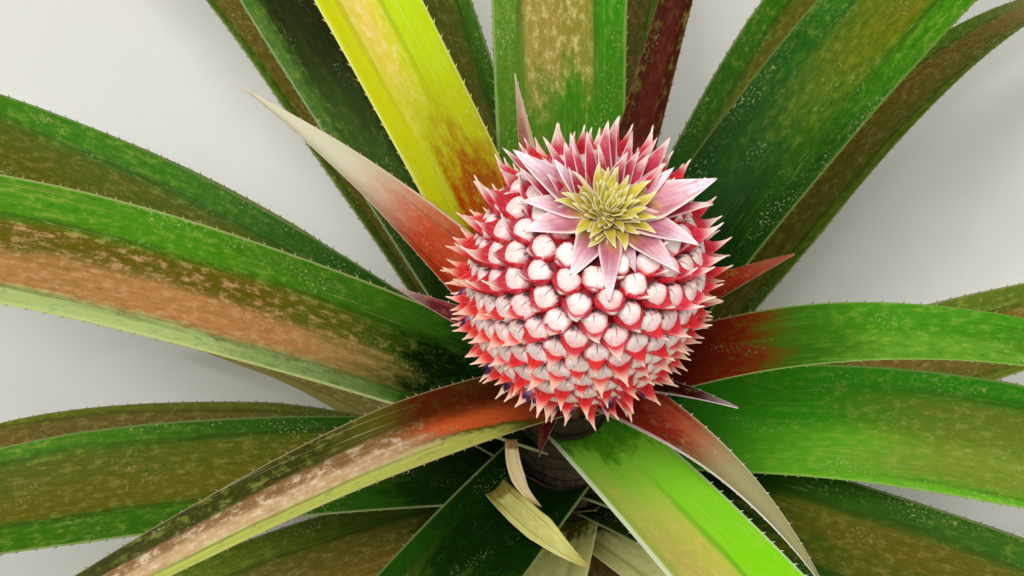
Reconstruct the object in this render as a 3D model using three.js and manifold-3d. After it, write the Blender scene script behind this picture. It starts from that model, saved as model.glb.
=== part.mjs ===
// A flowering pineapple plant: a short club-shaped stem, a spiral of long channelled leaves, a stalk with
// small red leaves, and a young compound fruit of spiny eyes under a bud of crown bracts.
// Millimetres, +Z up. The origin is the centre of the stem's flat cut, level with the ground.

import * as THREE from "three";
import { mergeVertices } from "three/addons/utils/BufferGeometryUtils.js";
import Module from "manifold-3d";

const wasm = await Module();
wasm.setup();

// Stem and stalk
const CLEARANCE = 0.3;
const STEM_HEIGHT = 155;
const STEM_FOOT_RADIUS = 24;
const STEM_WAIST_RADIUS = 20;
const STEM_WIDEST_RADIUS = 27;
const STEM_SIDES = 24;
const STALK_RADIUS = 13;
const STALK_TOP_RADIUS = 12;
const STALK_SIDES = 18;

// Fruit: an eye is a low dome with a pointed bract under it
const FRUIT_FOOT_HEIGHT = 210;
const FRUIT_LEAN = 10;
const FRUIT_LENGTH = 84;
const CORE_RADIUS = 36.5;
const CORE_ROUNDNESS = 2.7;
const CORE_ROWS = 6;
const CORE_SIDES = 12;
const EYES = 124;
const LOWEST_EYE_ANGLE = -56;
const HIGHEST_EYE_ANGLE = 74;
const EYE_WIDTH = 12.5;
const EYE_RISE = 6.2;
const EYE_SIDES = 6;
const TOP_EYE_SHARE = 0.75;
const BRACT_LENGTH = 17;
const TOP_BRACT_LENGTH = 21;
const LOWEST_BRACT_RISE = -22;
const HIGHEST_BRACT_RISE = 72;
const BRACT_THICKNESS = 2.6;
const BRACT_ROOT = 3.5;

// Crown bud: its bracts lie wide open outside and stand upright inside
const CROWN_BRACTS = 30;
const CROWN_BUD_RADIUS = 10.4;
const CROWN_BUD_TOP_RADIUS = 5;
const CROWN_BUD_HEIGHT = 12;
const OUTER_CROWN_BRACT = { length: 31, halfWidth: 5.6, lean: 78, offset: 5.5, height: 3.5 };
const INNER_CROWN_BRACT = { length: 10, halfWidth: 2.2, lean: 8, offset: 1, height: 8 };
const CROWN_BRACT_THICKNESS = 2.2;

// Proportions that all blades share
const THICKNESS_PER_LENGTH = 0.01;
const TIP_THINNING = 0.72;
const LEAST_THICKNESS = 0.9;
const BASE_ARC = 55;
const BLADE_ARC = 27;
const ARC_FLATTENING = 9;
const BASE_WIDTH_SHARE = 0.88;
const WIDEST_AT = 0.3;
const TAPER_FROM = 0.36;
const TAPER_POWER = 0.78;
const TIP_WIDTH_SHARE = 0.02;
const DRIFT_POWER = 1.5;
const BEND_POWER = 1.2;
const CENTRELINE_STEPS = 120;
const BLADE_SIDES = 6;
const ROW_SPACING_POWER = 1.25;

const GOLDEN_ANGLE = 180 * (3 - Math.sqrt(5));
const radians = THREE.MathUtils.degToRad;
const clamp = THREE.MathUtils.clamp;
const lerp = THREE.MathUtils.lerp;

// The upper leaves of the stem, three young ones first. azimuth is the direction from the stem, 0 along +X and 90
// along +Y. foot is the height of the base. rise and fall are the slopes at the base and at the tip. drift is
// how far the heading turns on the way.
const UPPER_LEAVES = [
  { azimuth: 123, foot: 155, rise: 45, fall: 6, length: 590, width: 41, drift: 14 },
  { azimuth: 224, foot: 164, rise: 54, fall: -42, length: 315, width: 36, drift: -26, taperFrom: 0.05 },
  { azimuth: -4, foot: 153, rise: 51, fall: -54, length: 380, width: 34, drift: -31, taperFrom: 0.06 },
  { azimuth: -57, foot: 140, rise: 35, fall: -36, length: 610, width: 43, drift: -16 },
  { azimuth: 92, foot: 137, rise: 47, fall: -4, length: 700, width: 60, drift: -18 },
  { azimuth: 174, foot: 128, rise: 40, fall: -34, length: 700, width: 57, drift: 20 },
  { azimuth: 48, foot: 122, rise: 36, fall: -28, length: 680, width: 56, drift: -20 },
  { azimuth: -9, foot: 114, rise: 33, fall: -56, length: 490, width: 56, drift: -30 },
  { azimuth: 127, foot: 106, rise: 35, fall: -10, length: 700, width: 50, drift: -12 },
];

// The older leaves below them change evenly from the youngest to the oldest. Only the directions are their own.
const LOWER_AZIMUTHS = [240, 112, -30, 156, 60, 192, 90, -34, 124, 258, 12, 148, 50, 205, 84, 318, 175];
const YOUNGEST_LOWER_LEAF = { foot: 99, rise: 33, fall: -32, length: 660, width: 55 };
const OLDEST_LOWER_LEAF = { foot: 25, rise: 28, fall: -34, length: 380, width: 44 };
const LOWER_DRIFT = 14;

// The small red leaves on the stalk
const STALK_LEAVES = [
  { azimuth: 103, foot: 189, rise: 32, fall: 70, length: 112, width: 25, drift: 2 },
  { azimuth: 168, foot: 186, rise: 26, fall: 46, length: 72, width: 27, drift: 8 },
  { azimuth: 19, foot: 185, rise: 28, fall: 42, length: 112, width: 36, drift: -16 },
  { azimuth: -24, foot: 181, rise: 25, fall: 26, length: 76, width: 24, drift: -6 },
  { azimuth: 142, foot: 178, rise: 31, fall: 36, length: 165, width: 41, drift: 18 },
  { azimuth: 262, foot: 180, rise: 22, fall: 30, length: 44, width: 20, drift: 6 },
  { azimuth: -37, foot: 173, rise: 32, fall: -18, length: 136, width: 31, drift: -10 },
  { azimuth: 69, foot: 167, rise: 42, fall: 30, length: 340, width: 27, drift: 6 },
];

// The dead leaves round the foot
const DRY_LEAVES = [
  { azimuth: 296, foot: 13, rise: 12, fall: -6, length: 250, width: 40, drift: 30 },
  { azimuth: 214, foot: 10, rise: 12, fall: 2, length: 130, width: 34, drift: -30 },
  { azimuth: 152, foot: 14, rise: 16, fall: -8, length: 230, width: 34, drift: 16 },
  { azimuth: 62, foot: 11, rise: 14, fall: -8, length: 280, width: 38, drift: 20 },
];

const bark = new THREE.MeshStandardMaterial({ color: 0x8a7a55, roughness: 0.85, metalness: 0 });
const stalkSkin = new THREE.MeshStandardMaterial({ color: 0xb9a06a, roughness: 0.6, metalness: 0 });
const leafGreen = new THREE.MeshStandardMaterial({ color: 0x3c6b22, roughness: 0.5, metalness: 0 });
const oldLeaf = new THREE.MeshStandardMaterial({ color: 0x5b5a2c, roughness: 0.55, metalness: 0 });
const bractRed = new THREE.MeshStandardMaterial({ color: 0xa8372c, roughness: 0.55, metalness: 0 });
const deadStraw = new THREE.MeshStandardMaterial({ color: 0xb59a62, roughness: 0.8, metalness: 0 });
const fruitPink = new THREE.MeshStandardMaterial({ color: 0xd8576a, roughness: 0.6, metalness: 0 });
const crownYellow = new THREE.MeshStandardMaterial({ color: 0xc9c07a, roughness: 0.6, metalness: 0 });

// A closed solid of a three.js geometry, and the way back
function solidOf(geometry) {
  const bare = geometry.clone();
  bare.deleteAttribute("normal");
  bare.deleteAttribute("uv");
  const merged = mergeVertices(bare, 1e-4);
  return new wasm.Manifold(
    new wasm.Mesh({
      numProp: 3,
      vertProperties: new Float32Array(merged.attributes.position.array),
      triVerts: new Uint32Array(merged.index.array),
    }),
  );
}

function geometryOf(solid) {
  const mesh = solid.getMesh();
  const geometry = new THREE.BufferGeometry();
  geometry.setAttribute("position", new THREE.BufferAttribute(mesh.vertProperties, 3));
  geometry.setIndex(new THREE.BufferAttribute(mesh.triVerts, 1));
  geometry.computeVertexNormals();
  return geometry;
}

function largestPiece(solid) {
  return solid.decompose().reduce((best, piece) => (piece.volume() > best.volume() ? piece : best));
}

// Each number of one record blended with the same number of another
function blend(from, to, share) {
  return Object.fromEntries(Object.keys(from).map((key) => [key, lerp(from[key], to[key], share)]));
}

// Stem: a flat cut with a slight root flare, a waist, a club-shaped top and a shoulder under the stalk.
// grow thickens it on every side, for the cutter that keeps the leaves clear of it.
function stemGeometry(grow = 0) {
  const outline = [
    [STEM_WAIST_RADIUS + 1, 8],
    [STEM_WAIST_RADIUS, 18],
    [lerp(STEM_WAIST_RADIUS, STEM_WIDEST_RADIUS, 0.55), 50],
    [STEM_WIDEST_RADIUS, 92],
    [STEM_WIDEST_RADIUS, 118],
    [lerp(STALK_RADIUS, STEM_WIDEST_RADIUS, 0.55), 142],
    [STALK_RADIUS + 1.5, STEM_HEIGHT + grow],
  ];
  const profile = [
    new THREE.Vector2(0, -grow),
    new THREE.Vector2(STEM_FOOT_RADIUS + grow, -grow),
    ...outline.map(([radius, height]) => new THREE.Vector2(radius + grow, height)),
    new THREE.Vector2(0, STEM_HEIGHT + grow),
  ];
  return new THREE.LatheGeometry(profile, STEM_SIDES).rotateX(Math.PI / 2);
}

function stalkGeometry(grow = 0) {
  const low = STEM_HEIGHT + CLEARANCE - grow;
  const high = FRUIT_FOOT_HEIGHT - CLEARANCE + grow;
  const stalk = new THREE.CylinderGeometry(STALK_TOP_RADIUS + grow, STALK_RADIUS + grow, high - low, STALK_SIDES, 3);
  return stalk.rotateX(Math.PI / 2).translate(0, 0, (low + high) / 2);
}

// The frame of a blade at each share of its length: centre, sideways and upward directions
function centreline(leaf, footRadius) {
  const heading = (share) => radians(leaf.azimuth + leaf.drift * share ** DRIFT_POWER);
  const slope = (share) => radians(lerp(leaf.rise, leaf.fall, share ** BEND_POWER));
  const forward = (share) =>
    new THREE.Vector3(
      Math.cos(slope(share)) * Math.cos(heading(share)),
      Math.cos(slope(share)) * Math.sin(heading(share)),
      Math.sin(slope(share)),
    );
  const start = radians(leaf.azimuth);
  const points = [new THREE.Vector3(footRadius * Math.cos(start), footRadius * Math.sin(start), leaf.foot)];
  const step = leaf.length / CENTRELINE_STEPS;
  for (let i = 0; i < CENTRELINE_STEPS; i++) {
    points.push(points[i].clone().addScaledVector(forward((i + 0.5) / CENTRELINE_STEPS), step));
  }
  return (share) => {
    const place = share * CENTRELINE_STEPS;
    const i = Math.min(Math.floor(place), CENTRELINE_STEPS - 1);
    const centre = points[i].clone().lerp(points[i + 1], place - i);
    const side = new THREE.Vector3(-Math.sin(heading(share)), Math.cos(heading(share)), 0);
    const up = forward(share).cross(side);
    return { centre, side, up };
  };
}

function widthShare(share, taperFrom) {
  const swell = Math.min(1, lerp(BASE_WIDTH_SHARE, 1, share / WIDEST_AT));
  const taper = Math.min(1, (1 - share) / (1 - taperFrom)) ** TAPER_POWER;
  return Math.max(swell * taper, TIP_WIDTH_SHARE);
}

// A blade: a six-sided bar, sharp at both margins, bent into a channel round its centreline
function bladeGeometry(leaf, footRadius, rows) {
  const { length, width, taperFrom = TAPER_FROM } = leaf;
  const frame = centreline(leaf, footRadius);
  const bar = new THREE.CylinderGeometry(1, 1, 1, BLADE_SIDES, rows, false, Math.PI / 2);
  const position = bar.attributes.position;
  for (let i = 0; i < position.count; i++) {
    const across = position.getX(i);
    const share = clamp(0.5 - position.getY(i), 0, 1) ** ROW_SPACING_POWER;
    const { centre, side, up } = frame(share);
    const arc = radians(lerp(BLADE_ARC, BASE_ARC, Math.exp(-ARC_FLATTENING * share)));
    const radius = (width * widthShare(share, taperFrom)) / (2 * arc);
    const thickness = length * THICKNESS_PER_LENGTH * (1 - TIP_THINNING * share ** BEND_POWER);
    const level = position.getZ(i) / Math.cos(Math.PI / BLADE_SIDES);
    const lift = radius * (1 - Math.cos(arc * across)) + (level * Math.max(thickness, LEAST_THICKNESS)) / 2;
    centre.addScaledVector(side, radius * Math.sin(arc * across)).addScaledVector(up, lift);
    position.setXYZ(i, centre.x, centre.y, centre.z);
  }
  return bar;
}

function lowerLeaf(azimuth, rank) {
  const leaf = blend(YOUNGEST_LOWER_LEAF, OLDEST_LOWER_LEAF, rank / (LOWER_AZIMUTHS.length - 1));
  return { ...leaf, azimuth, drift: LOWER_DRIFT * Math.cos(radians(rank * GOLDEN_ANGLE)) };
}

const stemCutter = solidOf(stemGeometry(CLEARANCE));
const stalkCutter = solidOf(stalkGeometry(CLEARANCE));

// A leaf starts inside what carries it and is cut back to stand clear of it.
function leafGeometry(leaf, footRadius, rows) {
  const blade = solidOf(bladeGeometry(leaf, footRadius, rows));
  return geometryOf(largestPiece(blade.subtract(stemCutter).subtract(stalkCutter)));
}

// Core of the fruit, a barrel with round shoulders in the fruit's own frame, its foot at z = 0. The point of
// its outline at an angle from -90 degrees at the foot to 90 at the top is [radius, height].
function corePoint(angle) {
  const round = (value) => Math.sign(value) * Math.abs(value) ** (2 / CORE_ROUNDNESS);
  const across = round(Math.max(Math.cos(radians(angle)), 0));
  return [CORE_RADIUS * across, (FRUIT_LENGTH / 2) * (1 + round(Math.sin(radians(angle))))];
}

// How far the core's surface looks up at that angle, in radians
function coreSlope(angle) {
  const [lowRadius, lowHeight] = corePoint(angle - 1);
  const [highRadius, highHeight] = corePoint(angle + 1);
  return Math.atan2(lowRadius - highRadius, highHeight - lowHeight);
}

function fruitCore() {
  const profile = [];
  for (let i = 0; i <= CORE_ROWS; i++) {
    const [radius, height] = corePoint(lerp(-90, 90, i / CORE_ROWS));
    profile.push(new THREE.Vector2(i === 0 || i === CORE_ROWS ? 0 : radius, height));
  }
  return new THREE.LatheGeometry(profile, CORE_SIDES).rotateX(Math.PI / 2);
}

// The outline angles of the eyes, spread so that each has the same share of the core's surface
function eyeAngles() {
  const steps = 400;
  const areas = [0];
  const angleAt = (step) => lerp(LOWEST_EYE_ANGLE, HIGHEST_EYE_ANGLE, step / steps);
  for (let i = 0; i < steps; i++) {
    const [radius, height] = corePoint(angleAt(i));
    const [nextRadius, nextHeight] = corePoint(angleAt(i + 1));
    areas.push(areas[i] + (radius + nextRadius) * Math.hypot(nextRadius - radius, nextHeight - height));
  }
  return Array.from({ length: EYES }, (_, eye) => {
    const wanted = ((eye + 0.5) / EYES) * areas[steps];
    return angleAt(areas.findIndex((area) => area >= wanted));
  });
}

// An eye: a low dome, with a pointed bract that hugs its lower side and stands out past it
function eyeSolid(angle, turn) {
  const [radius, height] = corePoint(angle);
  const share = height / FRUIT_LENGTH;
  const half = (EYE_WIDTH / 2) * lerp(1, TOP_EYE_SHARE, clamp((share - 0.8) / 0.2, 0, 1));
  const reach = lerp(BRACT_LENGTH, TOP_BRACT_LENGTH, clamp((share - 0.5) / 0.4, 0, 1));
  const rise = radians(lerp(LOWEST_BRACT_RISE, HIGHEST_BRACT_RISE, share));
  const dome = new THREE.SphereGeometry(1, EYE_SIDES, 2);
  dome.scale(half, EYE_RISE, half).rotateX(Math.PI / 2).rotateY(Math.PI / 2);
  const bract = new THREE.ConeGeometry(1, reach, 3);
  bract.scale(0.93 * half, 1, BRACT_THICKNESS).translate(0, reach / 2 - BRACT_ROOT, 0).rotateX(Math.PI / 2);
  bract.rotateY(Math.PI / 2 - rise + coreSlope(angle)).translate(0, 0, -0.8 * half);
  const place = (geometry) =>
    solidOf(
      geometry
        .rotateY(-coreSlope(angle))
        .translate(radius, 0, height)
        .rotateZ(radians(turn)),
    );
  return place(dome).add(place(bract));
}

function fruitSolid() {
  const eyes = eyeAngles().map((angle, i) => eyeSolid(angle, i * GOLDEN_ANGLE));
  return eyes.reduce((whole, eye) => whole.add(eye), solidOf(fruitCore()));
}

// Crown bud in the fruit's frame. grow thickens it, for the cutter that keeps the fruit clear of it.
function crownSolid(grow = 0) {
  const floor = FRUIT_LENGTH + CLEARANCE - grow;
  const tall = CROWN_BUD_HEIGHT + 2 * grow;
  const bud = new THREE.CylinderGeometry(CROWN_BUD_TOP_RADIUS + grow, CROWN_BUD_RADIUS + grow, tall, 12, 1);
  let crown = solidOf(bud.rotateX(Math.PI / 2).translate(0, 0, floor + tall / 2));
  for (let i = 0; i < CROWN_BRACTS; i++) {
    const inner = (i / (CROWN_BRACTS - 1)) ** 0.85;
    const { length, halfWidth, lean, offset, height } = blend(OUTER_CROWN_BRACT, INNER_CROWN_BRACT, inner);
    const bract = new THREE.ConeGeometry(Math.SQRT2, length + grow, 4);
    bract.rotateY(Math.PI / 4).scale(halfWidth + grow, 1, CROWN_BRACT_THICKNESS / 2 + grow);
    bract.translate(0, (length + grow) / 2, 0).rotateY(Math.PI / 2).rotateX(Math.PI / 2);
    bract.rotateY(radians(lean)).translate(offset, 0, floor + grow + height);
    crown = crown.add(solidOf(bract.rotateZ(radians(i * GOLDEN_ANGLE))));
  }
  return crown;
}

const plant = new THREE.Group();

function addMesh(parent, name, geometry, material) {
  const mesh = new THREE.Mesh(geometry, material);
  mesh.name = name;
  parent.add(mesh);
}

const serial = (i) => String(i + 1).padStart(2, "0");

addMesh(plant, "stem", stemGeometry(), bark);
addMesh(plant, "fruit_stalk", stalkGeometry(), stalkSkin);

UPPER_LEAVES.forEach((leaf, i) => {
  addMesh(plant, "leaf_" + serial(i), leafGeometry(leaf, STALK_RADIUS, 13), leafGreen);
});
LOWER_AZIMUTHS.forEach((azimuth, i) => {
  const name = "leaf_" + serial(UPPER_LEAVES.length + i);
  addMesh(plant, name, leafGeometry(lowerLeaf(azimuth, i), STEM_WAIST_RADIUS - 4, 12), oldLeaf);
});
STALK_LEAVES.forEach((leaf, i) => {
  const geometry = leafGeometry({ taperFrom: 0, ...leaf }, STALK_RADIUS - 4, 8);
  addMesh(plant, "stalk_leaf_" + serial(i), geometry, bractRed);
});
DRY_LEAVES.forEach((leaf, i) => {
  addMesh(plant, "dry_leaf_" + serial(i), leafGeometry(leaf, STEM_WAIST_RADIUS - 4, 9), deadStraw);
});

const head = new THREE.Group();
head.position.z = FRUIT_FOOT_HEIGHT;
head.rotation.y = radians(FRUIT_LEAN);
plant.add(head);
addMesh(head, "fruit", geometryOf(largestPiece(fruitSolid().subtract(crownSolid(CLEARANCE)))), fruitPink);
addMesh(head, "crown_bud", geometryOf(crownSolid()), crownYellow);

export default plant;
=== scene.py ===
"""Looks of a flowering pineapple plant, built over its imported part.

Every piece lies in the part's own frame, in metres. A blade is a round bar bent into a channel by the rule
that the part's source has, with waves and teeth along its margins. Its UV map Blade holds the place on the
blade, 0 to 1 across and 0 to 1 from foot to tip, and its UV map Span holds the same place in metres, for the
grain.
"""

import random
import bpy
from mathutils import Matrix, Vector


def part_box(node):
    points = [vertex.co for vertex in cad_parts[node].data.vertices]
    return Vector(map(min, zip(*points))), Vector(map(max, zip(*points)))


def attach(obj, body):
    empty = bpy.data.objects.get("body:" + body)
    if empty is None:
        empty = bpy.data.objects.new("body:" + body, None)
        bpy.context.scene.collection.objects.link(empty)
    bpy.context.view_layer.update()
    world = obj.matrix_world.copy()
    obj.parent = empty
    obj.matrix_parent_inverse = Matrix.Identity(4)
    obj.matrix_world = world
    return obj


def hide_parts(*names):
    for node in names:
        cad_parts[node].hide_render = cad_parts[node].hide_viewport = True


bl_info = {
    "name": "Pineapple plant",
    "version": (1, 0, 0),
    "blender": (4, 5, 0),
    "location": "3D View > Sidebar > Pineapple",
    "description": "Leaves, stalk, fruit, crown and stage of a flowering pineapple plant",
    "category": "Add Mesh",
}

from dataclasses import dataclass
from math import atan2, copysign, cos, degrees, exp, hypot, pi, radians, sin, sqrt

import bmesh
import bpy
from bpy.props import FloatProperty, FloatVectorProperty, IntProperty, PointerProperty
from bpy.types import Operator, Panel, PropertyGroup
from mathutils import Matrix, Vector, noise

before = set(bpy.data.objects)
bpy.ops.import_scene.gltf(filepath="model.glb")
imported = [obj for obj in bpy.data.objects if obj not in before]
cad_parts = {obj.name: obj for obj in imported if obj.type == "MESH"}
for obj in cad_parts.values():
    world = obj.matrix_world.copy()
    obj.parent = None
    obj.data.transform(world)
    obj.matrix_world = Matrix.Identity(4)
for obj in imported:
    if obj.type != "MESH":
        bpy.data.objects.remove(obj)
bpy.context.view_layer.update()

MM = 0.001
GOLDEN_ANGLE = 180 * (3 - sqrt(5))

# The stem and the stalk, in millimetres, and how deep the leaves' feet start in them
STEM_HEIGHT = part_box("stem")[1].z / MM
STEM_FOOT_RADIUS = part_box("stem")[1].x / MM
STALK_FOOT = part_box("fruit_stalk")[0].z / MM
STALK_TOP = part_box("fruit_stalk")[1].z / MM
STALK_RADIUS = 13
STEM_WAIST_RADIUS = 20
STEM_WIDEST_RADIUS = 27
LEAF_SINK = 4

# The fruit, as in the part's source, in millimetres and degrees, with more and lower eyes on a wider core
FRUIT_FOOT_HEIGHT = 210
FRUIT_LEAN = 10
FRUIT_LENGTH = 84
CORE_RADIUS = 38.5
CORE_ROUNDNESS = 2.7
EYES = 260
FLOWERING_EYES = 80
FLOWERING_SHARE = 0.3
LOWEST_EYE_ANGLE = -56
HIGHEST_EYE_ANGLE = 74
EYE_HALF_WIDTH = 4.75
EYE_RISE = 4.1
TOP_EYE_SHARE = 0.92
BRACT_LENGTH = 17
TOP_BRACT_LENGTH = 21
LOWEST_BRACT_RISE = -22
HIGHEST_BRACT_RISE = 72
BRACT_ROOT = 3.5
BRACT_ARC = 98
DOME_POWER = 4.4
EYE_POWER = 4.5
SEAM_ANGLES = (90, 210, 330)
SEAM_DEPTH = 0.07
SEAM_HALF_WIDTH = 40

# Proportions that all blades share, as in the part's source
BASE_ARC = 55
BLADE_ARC = 27
ARC_FLATTENING = 9
BASE_WIDTH_SHARE = 0.88
WIDEST_AT = 0.3
TAPER_FROM = 0.36
TAPER_POWER = 0.78
TIP_WIDTH_SHARE = 0.02
TIP_THINNING = 0.72
DRIFT_POWER = 1.5
BEND_POWER = 1.2

# The blades' finer form: how many steps their line has, how their section is rounded, and in millimetres the
# length of a leaf that has the full thickness and the least thickness of the others
LINE_STEPS = 60
SECTION_POWER = 0.75
FULL_THICKNESS_LENGTH = 700
LEAST_THICKNESS = 1.3

# Where along a leaf the teeth are, a tooth's radius and seat for its length, and how far it leans to the tip
FIRST_TOOTH = 0.12
LAST_TOOTH = 0.985
TOOTH_RADIUS = 0.24
TOOTH_SEAT = 0.32
TOOTH_LEAN = 0.9

# What the chances of each kind of piece and the waves of its blades start from
SEEDS = dict(lower_leaves=7, eyes=11, eye_bracts=12, petals=5, crown_back=13, rosette=4, sheaths=9)
WAVE_SEEDS = dict(lower_leaves=20, crown_back=40, stalk_leaves=50, dry_leaves=70, sheaths=100, scraps=140)

# The stage, in metres: each lamp's name, place and size, and what the lamps and the camera point at
LAMPS = (("key_light", (-0.5, -0.35, 2.4), 1.5), ("fill_light", (1.6, -1.4, 1.6), 1.6))
LAMP_TARGET = (0, 0, 0.2)
SKY_COLOUR = (1.0, 0.98, 0.94, 1.0)
CAMERA_TARGET = (0.0076, 0, 0.255)
CAMERA_Y = -0.25
CAMERA_LENS = 48.5
CAMERA_SHIFT = (-0.0713, -0.0127)


def lerp(low, high, share):
    """The number that share of the way from low to high"""
    return low + (high - low) * share


def clamp(value):
    """The value kept between 0 and 1"""
    return min(max(value, 0.0), 1.0)


def smooth(value, low, high):
    """0 below low, 1 above high and an even curve between them"""
    share = clamp((value - low) / (high - low))
    return share * share * (3 - 2 * share)


def turned(angle, axis, size=4):
    """The matrix of a turn about an axis"""
    return Matrix.Rotation(radians(angle), size, axis)


def colour(code):
    """Linear red, green, blue and alpha of a hexadecimal sRGB code"""
    parts = [int(code[i : i + 2], 16) / 255 for i in (0, 2, 4)]
    return [p / 12.92 if p <= 0.04045 else ((p + 0.055) / 1.055) ** 2.4 for p in parts] + [1.0]


def look(codes, middle, half, start, base_reach, deep_reach, **more):
    """A leaf's colours, as hexadecimal sRGB, and where they lie.

    plus and minus are the two sides of the blade, plus being the left one seen from the foot. band and
    band_minus are the two halves of the middle stripe, mottle the flecks in it, middle and half its place
    and half width across the blade, start the share of the length where it begins and fade how softly. base
    and tip tint the ends, the base with painted shade near the stem besides its own tint. deep is the dark
    tone of the flecks and the painted shade over the zone after the base, and base_minus the base's minus
    side. margin is the edge's line, hem where it starts on the minus side and spared_side the side the base
    hardly reaches.
    """
    names = ("plus", "minus", "band", "band_minus", "mottle", "base", "deep", "tip", "margin")
    facts = dict(zip(names, codes.split()))
    facts.update(base_minus=facts["base"], spared_side=0.0, fade=0.1, tip_start=0.7, hem=0.955)
    return dict(
        facts, middle=middle, half=half, start=start, base_reach=base_reach, deep_reach=deep_reach, **more
    )


def mixed_look(low, high, share):
    """A look between two others: its colours are mixed channel by channel and its numbers evenly"""
    made = {}
    for key, value in low.items():
        if isinstance(value, str):
            pairs = [(int(value[i : i + 2], 16), int(high[key][i : i + 2], 16)) for i in (0, 2, 4)]
            made[key] = "".join(f"{round(lerp(a, b, share)):02x}" for a, b in pairs)
        else:
            made[key] = lerp(value, high[key], share)
    return made


# Each leaf's or bract's azimuth from the stem, the height of its foot, its rise and fall, which are its
# slopes at the base and at the tip, its length and width, and its drift, which is how far its heading turns
# on the way. An eighth number is where it tapers from. The leaves are as in the part's source, apart from
# five small ones of the stalk.
UPPER_LEAVES = [
    (123, 155, 45, 6, 590, 41, 14),
    (224, 164, 54, -42, 315, 36, -26, 0.05),
    (-4, 153, 51, -54, 380, 34, -31, 0.06),
    (-57, 140, 35, -36, 610, 43, -16),
    (92, 137, 47, -4, 700, 60, -18),
    (174, 128, 40, -34, 700, 57, 20),
    (48, 122, 36, -28, 680, 56, -20),
    (-9, 114, 33, -56, 490, 56, -30),
    (127, 106, 35, -10, 700, 50, -12),
]
LOWER_AZIMUTHS = [240, 112, -30, 156, 60, 192, 90, -34, 124, 258, 12, 148, 50, 205, 84, 318, 175]
LOWER_DRIFT = 14
# Foot, rise, fall, length and width
YOUNGEST_LOWER_LEAF = (99, 33, -32, 660, 55)
OLDEST_LOWER_LEAF = (25, 28, -34, 380, 44)
STALK_LEAVES = [
    (103, 189, 32, 70, 112, 25, 2),
    (168, 186, 26, 46, 72, 21, 8),
    (17, 185, 28, 38, 96, 33, -12),
    (-23, 181, 25, 22, 70, 17, -8),
    (142, 178, 31, 36, 165, 41, 18),
    (252, 176, 8, -20, 30, 15, 6),
    (-38, 173, 32, -18, 134, 30, -20),
    (69, 167, 42, 30, 340, 27, 6),
]
DRY_LEAVES = [
    (296, 13, 12, -6, 250, 40, 30),
    (214, 10, 12, 2, 130, 34, -30),
    (152, 14, 16, -8, 230, 34, 16),
    (62, 11, 14, -8, 280, 38, 20),
]
# The crown's large bracts, which lie open in front and stand up behind
STAR_BRACTS = [
    (-88, 3.5, 6, -42, 26, 9, 2),
    (-116, 3, 6, -44, 21, 12, -4),
    (-40, 3, 8, -26, 26, 12, 12),
    (-162, 3, 10, -30, 24, 13, -10),
    (-64, 2.5, 4, -34, 17, 9, 8),
    (176, 2, 14, -6, 24, 11, 6),
    (-16, 3, 14, -8, 27, 12, -6),
    (16, 2, 20, 16, 34, 17, 8),
    (156, 2, 20, 14, 33, 15, -6),
    (34, 0, 34, 28, 24, 9, 6),
    (146, 0, 36, 28, 22, 9, -6),
]

# The upper leaves' looks; their darkest foot colours are painted shade near the stem and the fruit
UPPER_LOOKS = [
    look("c0c40c b0cc0c dcbc5c d4c040 ecd898 a03c08 a8b00c a98f4a dfe48c",
         0.16, 0.34, 0.22, 0.185, 0.0, base_minus="94500c", spared_side=1.0),
    look("acb454 2c3008 bc9874 84603c dcc8ac c85828 4c4c10 dccfb8 a8946c",
         0.08, 0.44, 0.24, 0.3, 0.0, base_minus="4c1c08", spared_side=1.0),
    look("3c8008 589020 38700c 406c0c 6c9c30 6c1c08 2c5c08 7a7a3c 90a458", 0.1, 0.4, 0.45, 0.26, 0.02),
    look("78c808 b4b458 b8ac4c b49c50 c8b464 4c9018 80c430 b49a6a d0d4bc",
         -0.3, 0.45, 0.08, 0.03, 0.08, hem=0.9),
    look("5c8424 2c8404 98803c 8c7c30 ccbc7c 1c3804 386408 8c7a4c 93a860",
         0.02, 0.5, 0.185, 0.08, 0.1, fade=0.03),
    look("a8bc74 407c08 a86c3c 5c4804 c09068 061a02 2c540c a08660 b8bc78", 0.1, 0.52, 0.1, 0.1, 0.035),
    look("28680a 3c7c0c 5c6404 606008 747418 061c02 103402 6c5c30 6c7c38", 0.0, 0.46, 0.24, 0.15, 0.1),
    look("2c8406 60a41c 687420 748028 8c9440 103408 307c10 7a6c34 8ca454", -0.1, 0.7, 0.24, 0.08, 0.1),
    look("50742c 303c0c 1c1e08 24240c 2c2c14 284810 1c3008 6a5c38 8ca070", -0.12, 0.76, 0.2, 0.1, 0.06),
]
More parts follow.
